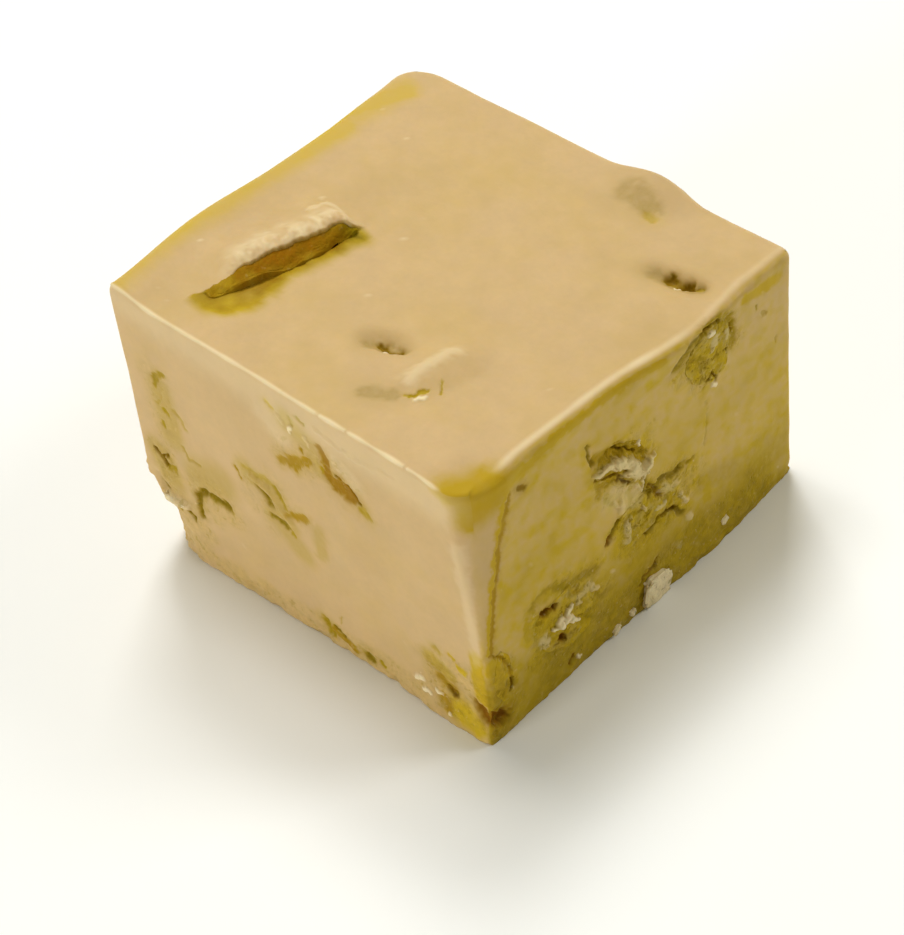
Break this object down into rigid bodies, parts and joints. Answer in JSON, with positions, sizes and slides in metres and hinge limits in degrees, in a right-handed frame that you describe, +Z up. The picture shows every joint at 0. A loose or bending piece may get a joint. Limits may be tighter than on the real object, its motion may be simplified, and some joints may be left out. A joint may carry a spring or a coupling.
{
  "type": "walnut fudge square",
  "caption": "Knife-cut square of set fudge with a smooth poured top and walnut pieces showing in its top and cut sides.",
  "frame": {"origin": "middle of the flat underside", "axes": "+Z up through the poured top; X runs along the front cut side (-Y) and Y along the right-hand cut side (+X)"},
  "size_m": [0.047, 0.0456, 0.0348],
  "materials": {
    "fudge": "satin, oily set sugar, pale tan with golden edges",
    "walnut": "matt nut flesh and thin brown skin"
  },
  "bodies": {
    "root": {"fudge": "fudge", "walnut_ridge": "walnut", "walnut_upper": "walnut", "walnut_pale": "walnut", "walnut_rough": "walnut", "walnut_low": "walnut", "walnut_corner": "walnut", "walnut_cleft": "walnut", "walnut_long": "walnut", "walnut_brown": "walnut", "walnut_base": "walnut"}
  },
  "joints": []
}
